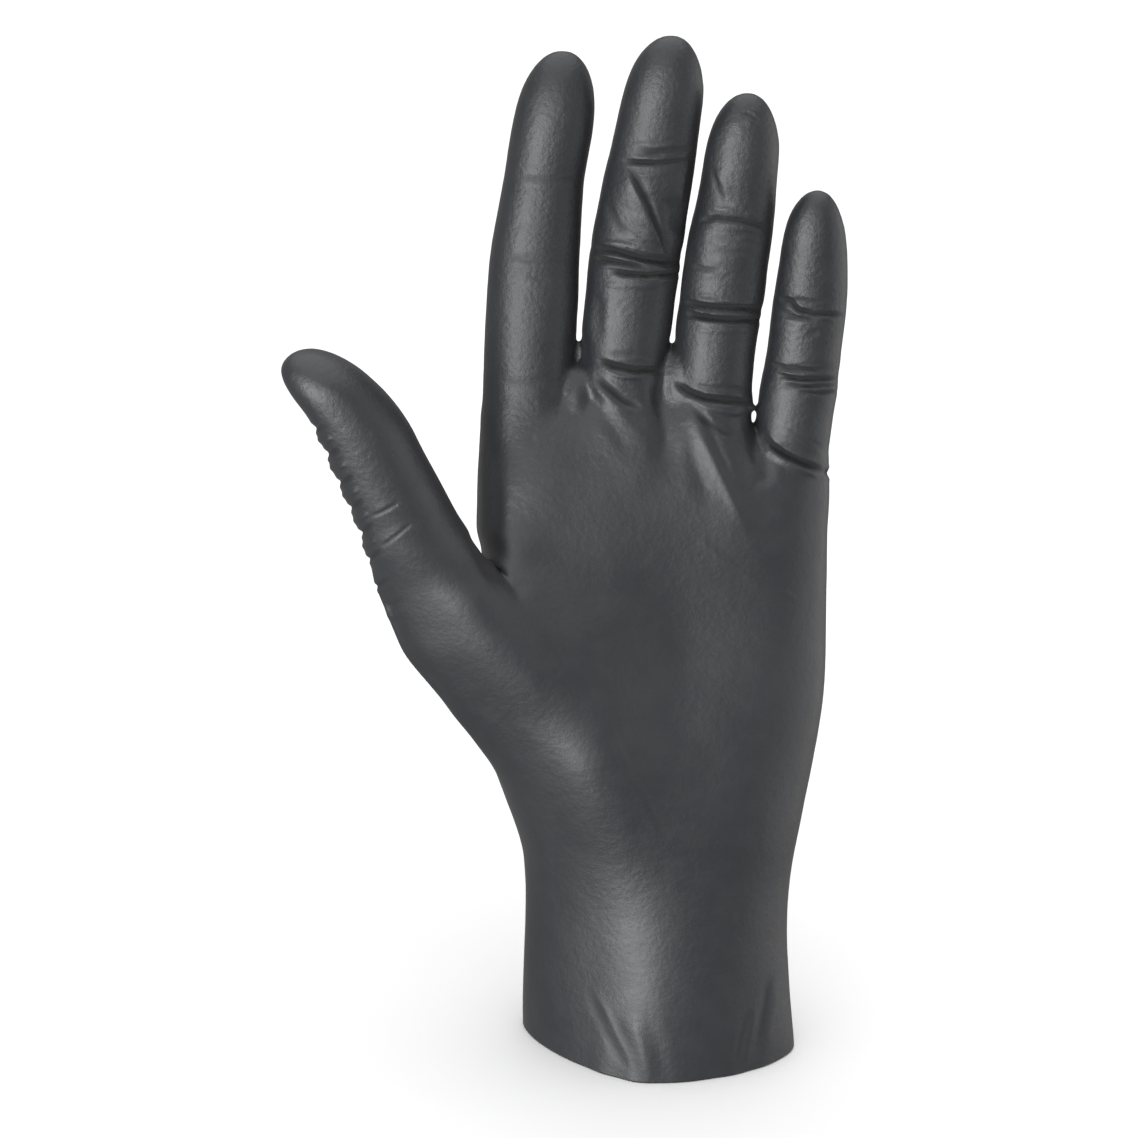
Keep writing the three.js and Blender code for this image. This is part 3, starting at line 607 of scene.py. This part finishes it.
def back_rise(points, normals):
    places = points[:, [0, 2]]
    facing = normals[:, 1]
    stalls = label_stalls(points)
    rise = np.zeros(len(points))
    folds = [(None, fold) for fold in BACK_FOLDS]
    for stall, seed, start, end, spread, count, half, up in BACK_BUNDLES:
        folds += [(stall, fold) for fold in bundle(seed, start, end, spread, count, half, up, bow=0.3)]
    for stall, fold in folds:
        near, moved = fold_rise(places, fold)
        moved = moved * smooth_step(0.0, 0.3, facing[near])
        if stall:
            moved = moved * stalls[stall][near]
        rise[near] += moved
    return rise


def ripple(points, size, seed):
    """Smooth unevenness, from -1 to 1, with waves about size millimetres long."""
    shift = Vector((seed * 7.3, seed * 3.1, seed * 5.7))
    return np.array([noise.noise(Vector(p) / size + shift) for p in points])


def between(low, step, count, value):
    """For each value, the number of the entry below it and the share of the way to the next one."""
    t = np.clip((value - low) / step, 0, count - 1.001)
    i = t.astype(int)
    return i, t - i


def mould(skin):
    """Moves the palm's front towards the viewer by the table above, averaged so that no step shows."""
    levels = np.array(list(MOULD), float)
    columns = np.arange(MOULD_COLUMNS[0] - 30, MOULD_COLUMNS[-1] + 30, MOULD_STEP)
    rows = np.arange(levels[0] - 30, levels[-1] + 30, MOULD_STEP)
    wide = np.array([np.interp(columns, MOULD_COLUMNS, line) for line in MOULD.values()])
    table = np.array([np.interp(rows, levels, column) for column in wide.T])
    for _ in range(MOULD_ROUNDS):
        table[1:-1] = (table[:-2] + 2 * table[1:-1] + table[2:]) / 4
        table[:, 1:-1] = (table[:, :-2] + 2 * table[:, 1:-1] + table[:, 2:]) / 4
    across, row = picture_place(skin.points).T
    i, u = between(columns[0], MOULD_STEP, len(columns), across)
    j, v = between(rows[0], MOULD_STEP, len(rows), row)
    left = table[i, j] * (1 - v) + table[i, j + 1] * v
    right = table[i + 1, j] * (1 - v) + table[i + 1, j + 1] * v
    front = smooth_step(0.05, 0.4, facing_camera(skin.points, skin.normals()))
    skin.points[:, 1] -= front * (left * (1 - u) + right * u)


def fill_webs(mesh):
    """Adds the rounded bodies at the slits' lower ends, which the remesh then joins to the skin."""
    bm = bmesh.new()
    bm.from_mesh(mesh)
    for middle, half in WEB_FILLS:
        place = Matrix.Translation(Vector(middle) / 1000) @ Matrix.Diagonal((*(Vector(half) / 1000), 1.0))
        bmesh.ops.create_icosphere(bm, subdivisions=4, radius=1.0, matrix=place)
    bm.to_mesh(mesh)
    bm.free()


def blend_palm(skin):
    """Broad smoothing, found on a rougher copy of the skin and carried over to it."""
    rough = Skin(remeshed(skin.mesh.copy(), COARSE_CELL))
    before = rough.points.copy()
    share = blend_share(before, PALM_BLENDS)
    rough.smooth(passes_for(PALM_BLEND_REACH, COARSE_CELL), 0.5 * share)
    moved = rough.points - before
    tree = KDTree(rough.count)
    for i, point in enumerate(before):
        tree.insert(point, i)
    tree.balance()
    for i in np.flatnonzero(blend_share(skin.points, [(x, y, z, r + 6) for x, y, z, r in PALM_BLENDS]) > 0):
        found = tree.find_n(skin.points[i], 6)
        weights = np.array([1 / (f[2] + 0.15) ** 2 for f in found])
        skin.points[i] += weights @ moved[[f[1] for f in found]] / weights.sum()
    bpy.data.meshes.remove(rough.mesh)


def web_share(skin):
    """1 on the walls of the slits between the fingers, 0 away from them."""
    normals = skin.normals()
    share = np.zeros(skin.count)
    for x, z, _ in WEBS:
        away = np.linalg.norm(skin.points[:, [0, 2]] - (x, z), axis=1) / WEB_REACH
        above = smooth_step(z - 3.0, z, skin.points[:, 2])
        share = np.maximum(share, smooth_step(1.0, 0.6, away) * above)
    return share * smooth_step(0.5, 0.8, np.linalg.norm(normals[:, [0, 2]], axis=1))


def lower_webs(skin):
    saddle = smooth_step(0.1, 0.5, skin.normals()[:, 2])
    for x, z, pull in WEBS:
        off = np.abs(skin.points[:, 0] - x)
        up = np.abs(skin.points[:, 2] - z)
        skin.points[:, 2] -= pull * saddle * smooth_step(4.0, 1.0, off) * smooth_step(9.0, 4.0, up)


def fit_edges(skin):
    """Moves the skin sideways until each form meets its edges in the picture."""
    places = picture_place(skin.points)
    across, row = places.T
    stalls = label_stalls(skin.points)
    on_thumb = (across < THUMB_EDGE) & (row < THUMB_ROOT)
    forms = {name: where & ~on_thumb for name, where in stalls.items()}
    forms["thumb"] = on_thumb
    forms["palm"] = ~on_thumb & (row > 400) & (row < THUMB_ROOT)
    forms["body"] = row > 530
    total = np.zeros(skin.count)
    weight = np.zeros(skin.count)
    for name, where in forms.items():
        table = np.array(EDGES[name], float)
        chosen = np.flatnonzero(where)
        bins = np.round(row[chosen] / EDGE_BAND).astype(int)
        low = np.full(bins.max() + 1, 1e9)
        high = np.full(bins.max() + 1, -1e9)
        np.minimum.at(low, bins, across[chosen])
        np.maximum.at(high, bins, across[chosen])
        used = np.flatnonzero(high > low + 12)
        band = used * EDGE_BAND
        level = row[chosen]
        left = np.interp(level, band, low[used])
        right = np.interp(level, band, high[used])
        to_left = np.interp(table[:, 0], band, low[used])
        to_right = np.interp(table[:, 0], band, high[used])
        move_left = np.interp(level, table[:, 0], table[:, 1] - to_left)
        move_right = np.interp(level, table[:, 0], table[:, 2] - to_right)
        t = np.clip((across[chosen] - left) / np.maximum(right - left, 1), 0, 1)
        moved = move_left * (1 - t) + move_right * t
        if name == "palm":
            part = smooth_step(400, 440, level) * smooth_step(THUMB_ROOT, 520, level)
        elif name == "body":
            part = smooth_step(530, 560, level)
        elif name == "thumb":
            part = smooth_step(552, 524, level)
        else:
            part = smooth_step(FINGER_ROOTS[name] + 34, FINGER_ROOTS[name] - 6, level)
        total[chosen] += moved * part
        weight[chosen] += part
    shift = total / np.maximum(weight, 1e-6)
    shift = skin.spread(shift, EDGE_ROUNDS)[:, 0]
    skin.points[:, 0] += shift * MM_PER_PIXEL


def make_skin(node):
    mesh = outside_of(node)
    mesh = applied(mesh, "SUBSURF", levels=2, render_levels=2)
    fill_webs(mesh)
    mesh = remeshed(mesh, CELL)
    skin = Skin(mesh)
    blend_palm(skin)
    mould(skin)
    skin.smooth(passes_for(SMOOTH_REACH), 0.5 - 0.42 * web_share(skin))
    skin.smooth(passes_for(WEB_BLEND_REACH), 0.5 * blend_share(skin.points, WEB_BLENDS))
    lower_webs(skin)
    fit_edges(skin)
    skin.store()
    mesh = applied(mesh, "SUBSURF", levels=1, render_levels=1)
    skin = Skin(mesh)
    normals = skin.normals()
    rise = front_rise(skin.points, normals)[0] + back_rise(skin.points, normals)
    rise += 0.08 * ripple(skin.points, 18.0, 1) + 0.03 * ripple(skin.points, 6.0, 2)
    skin.points = skin.points + normals * rise[:, None]
    skin.store()
    return mesh


def mark_painted_crease_shade(mesh):
    """Gives each point a number from 0 to 1 for how deep it lies in creases, for the painted shade that
    darkens the film there and for its roughness.
    """
    skin = Skin(mesh)
    crease_shade_depth = front_rise(skin.points, skin.normals())[1]
    mark = mesh.attributes.new("crease_shade", "FLOAT", "POINT")
    mark.data.foreach_set("value", np.clip(crease_shade_depth / 0.45, 0, 1).astype(np.float32))


def open_and_thicken(mesh):
    """Cuts the skin at the rim's plane and gives it its wall."""
    ratio = TRIANGLES / (2 * len(mesh.polygons))
    mesh = applied(mesh, "DECIMATE", decimate_type="COLLAPSE", ratio=ratio, use_collapse_triangulate=True)
    bm = bmesh.new()
    bm.from_mesh(mesh)
    bmesh.ops.bisect_plane(
        bm,
        geom=list(bm.verts) + list(bm.edges) + list(bm.faces),
        dist=1e-7,
        plane_co=(0, 0, 0),
        plane_no=(0, 0, 1),
        clear_inner=True,
    )
    bmesh.ops.triangulate(bm, faces=bm.faces)
    bmesh.ops.recalc_face_normals(bm, faces=bm.faces)
    bm.to_mesh(mesh)
    bm.free()
    mark_painted_crease_shade(mesh)
    mesh = applied(mesh, "SOLIDIFY", thickness=FILM / 1000, offset=-1.0, use_rim=True)
    mesh.shade_smooth()
    mesh.set_sharp_from_angle(angle=math.radians(60))
    return mesh


class Nodes:
    """Short calls for building a material's nodes."""

    def __init__(self, name):
        self.material = bpy.data.materials.new(name)
        self.material.use_nodes = True
        self.tree = self.material.node_tree
        self.tree.nodes.clear()

    def add(self, kind, inputs=(), **settings):
        node = self.tree.nodes.new("ShaderNode" + kind)
        for key, value in settings.items():
            setattr(node, key, value)
        for key, value in dict(inputs).items():
            if isinstance(value, bpy.types.NodeSocket):
                self.tree.links.new(value, node.inputs[key])
            else:
                node.inputs[key].default_value = value
        return node

    def math(self, operation, a, b=0.0):
        return self.add("Math", {0: a, 1: b}, operation=operation).outputs[0]

    def span(self, value, low, high, start, end):
        return self.add(
            "MapRange", {"Value": value, "From Min": low, "From Max": high, "To Min": start, "To Max": end}
        ).outputs[0]

    def mix(self, share, a, b):
        node = self.add("Mix", data_type="RGBA")
        for key, value in ((0, share), (6, a), (7, b)):
            if isinstance(value, bpy.types.NodeSocket):
                self.tree.links.new(value, node.inputs[key])
            else:
                node.inputs[key].default_value = value
        return node.outputs[2]

    def noise(self, place, scale, detail=2.0, roughness=0.5):
        return self.add(
            "TexNoise", {"Vector": place, "Scale": scale, "Detail": detail, "Roughness": roughness}
        ).outputs["Fac"]


def nitrile():
    """Charcoal black nitrile: satin, faintly uneven in colour, pebbled over the fingers, with shade painted
    into the creases.
    """
    n = Nodes("nitrile_charcoal")
    place = n.add("TexCoord").outputs["Object"]
    height = n.add("SeparateXYZ", {0: place}).outputs[2]
    cloudy = n.noise(place, 26.0, 3.0)
    fine = n.noise(place, 190.0, 3.0, 0.6)
    dark = (0.0085, 0.0102, 0.0128, 1.0)
    worn = (0.0125, 0.0142, 0.0170, 1.0)
    colour = n.mix(n.span(cloudy, 0.3, 0.7, 0.0, 1.0), dark, worn)
    colour = n.mix(n.span(fine, 0.45, 0.8, 0.0, 0.35), colour, (0.017, 0.0185, 0.021, 1.0))
    crease_shade = n.add("Attribute", attribute_name="crease_shade", attribute_type="GEOMETRY").outputs["Fac"]
    # Painted shade: the colour is darkened towards near black where a point lies deep in creases.
    colour = n.mix(n.math("MULTIPLY", crease_shade, 0.85), colour, (0.002, 0.0022, 0.0026, 1.0))
    on_fingers = n.span(height, 0.13, 0.175, 0.45, 1.0)
    pebbles = n.add(
        "TexVoronoi", {"Vector": place, "Scale": 900.0, "Randomness": 1.0}, feature="SMOOTH_F1"
    ).outputs["Distance"]
    grain = n.noise(place, 2400.0, 2.0, 0.6)
    waves = n.noise(place, 420.0, 2.0, 0.5)
    surface = n.math("ADD", n.math("MULTIPLY", pebbles, 0.55), n.math("MULTIPLY", grain, 0.45))
    surface = n.math("MULTIPLY", surface, on_fingers)
    surface = n.math("ADD", surface, n.math("MULTIPLY", waves, 0.5))
    bump = n.add("Bump", {"Strength": 0.8, "Distance": 0.0002, "Height": surface})
    uneven = n.math("ADD", n.math("MULTIPLY", fine, 0.6), n.math("MULTIPLY", cloudy, 0.4))
    gloss = n.span(uneven, 0.3, 0.7, 0.43, 0.52)
    gloss = n.math("ADD", gloss, n.math("MULTIPLY", crease_shade, 0.4))
    shader = n.add(
        "BsdfPrincipled",
        {
            "Base Color": colour,
            "Roughness": gloss,
            "IOR": 1.52,
            "Specular IOR Level": 0.5,
            "Sheen Weight": 0.04,
            "Sheen Roughness": 0.5,
            "Sheen Tint": (1.0, 0.86, 0.8, 1.0),
            "Normal": bump.outputs[0],
        },
    )
    n.add("OutputMaterial", {"Surface": shader.outputs[0]})
    return n.material


def plain(name, colour, roughness):
    n = Nodes(name)
    shader = n.add(
        "BsdfPrincipled", {"Base Color": colour, "Roughness": roughness, "Specular IOR Level": 0.2}
    )
    n.add("OutputMaterial", {"Surface": shader.outputs[0]})
    return n.material


def add_object(name, data):
    made = bpy.data.objects.new(name, data)
    bpy.context.scene.collection.objects.link(made)
    return made


def aim(obj, place, target):
    obj.location = Vector(place)
    obj.rotation_euler = (Vector(target) - Vector(place)).to_track_quat("-Z", "Y").to_euler()


def add_light(name, place, target, width, height, power):
    """A soft box that lights the glove and leaves the floor as it is."""
    light = bpy.data.lights.new(name, "AREA")
    light.shape = "RECTANGLE"
    light.size, light.size_y = width, height
    light.energy = power
    made = add_object(name, light)
    aim(made, place, target)
    made.light_linking.receiver_collection = lit


# The glove
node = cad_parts["glove"]
glove = add_object("glove_film", open_and_thicken(make_skin(node)))
glove.data.materials.clear()
glove.data.materials.append(nitrile())
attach(glove, "root")
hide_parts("glove")
print("glove_film", len(glove.data.polygons), "faces")

# Floor
FLOOR_HALF = 4.0
FLOOR_LEVEL = -0.0004
bm = bmesh.new()
bmesh.ops.create_grid(bm, x_segments=2, y_segments=2, size=FLOOR_HALF)
floor_mesh = bpy.data.meshes.new("floor")
bm.to_mesh(floor_mesh)
bm.free()
floor = add_object("floor", floor_mesh)
floor.location = (0, 0, FLOOR_LEVEL)
floor.visible_diffuse = False
floor.visible_glossy = False
floor.visible_shadow = False
floor_mesh.materials.append(plain("pale_floor", (0.87, 0.87, 0.87, 1.0), 0.6))

# Light
lit = bpy.data.collections.new("lit_by_soft_boxes")
lit.objects.link(glove)
world = bpy.data.worlds.new("studio")
bpy.context.scene.world = world
world.use_nodes = True
world.node_tree.nodes["Background"].inputs[0].default_value = (1, 1, 1, 1)
world.node_tree.nodes["Background"].inputs[1].default_value = 0.30
overhead = bpy.data.lights.new("overhead", "SUN")
overhead.energy = 3.3
overhead.angle = math.radians(100)
aim(add_object("overhead", overhead), (0, 0, 2), (0, 0, 0))
add_light("left", (-0.44, -0.62, 0.05), (-0.015, 0, 0.12), 0.48, 0.6, 9.5)
add_light("right", (0.75, 0.05, 0.05), (0, 0, 0.10), 1.1, 0.7, 3.2)
add_light("front", (-0.05, -1.08, 0.26), (-0.015, 0, 0.14), 0.35, 0.35, 2.0)

# Camera
camera = add_object("camera", bpy.data.cameras.new("camera"))
camera.data.sensor_width = SENSOR_WIDTH
camera.data.sensor_fit = "HORIZONTAL"
camera.data.lens = SENSOR_WIDTH * FOCAL_PIXELS / PICTURE_SIDE
camera.data.clip_end = 50
aim(camera, CAMERA_PLACE / 1000, CAMERA_TARGET / 1000)
bpy.context.scene.camera = camera
bpy.context.scene.view_settings.view_transform = "Standard"
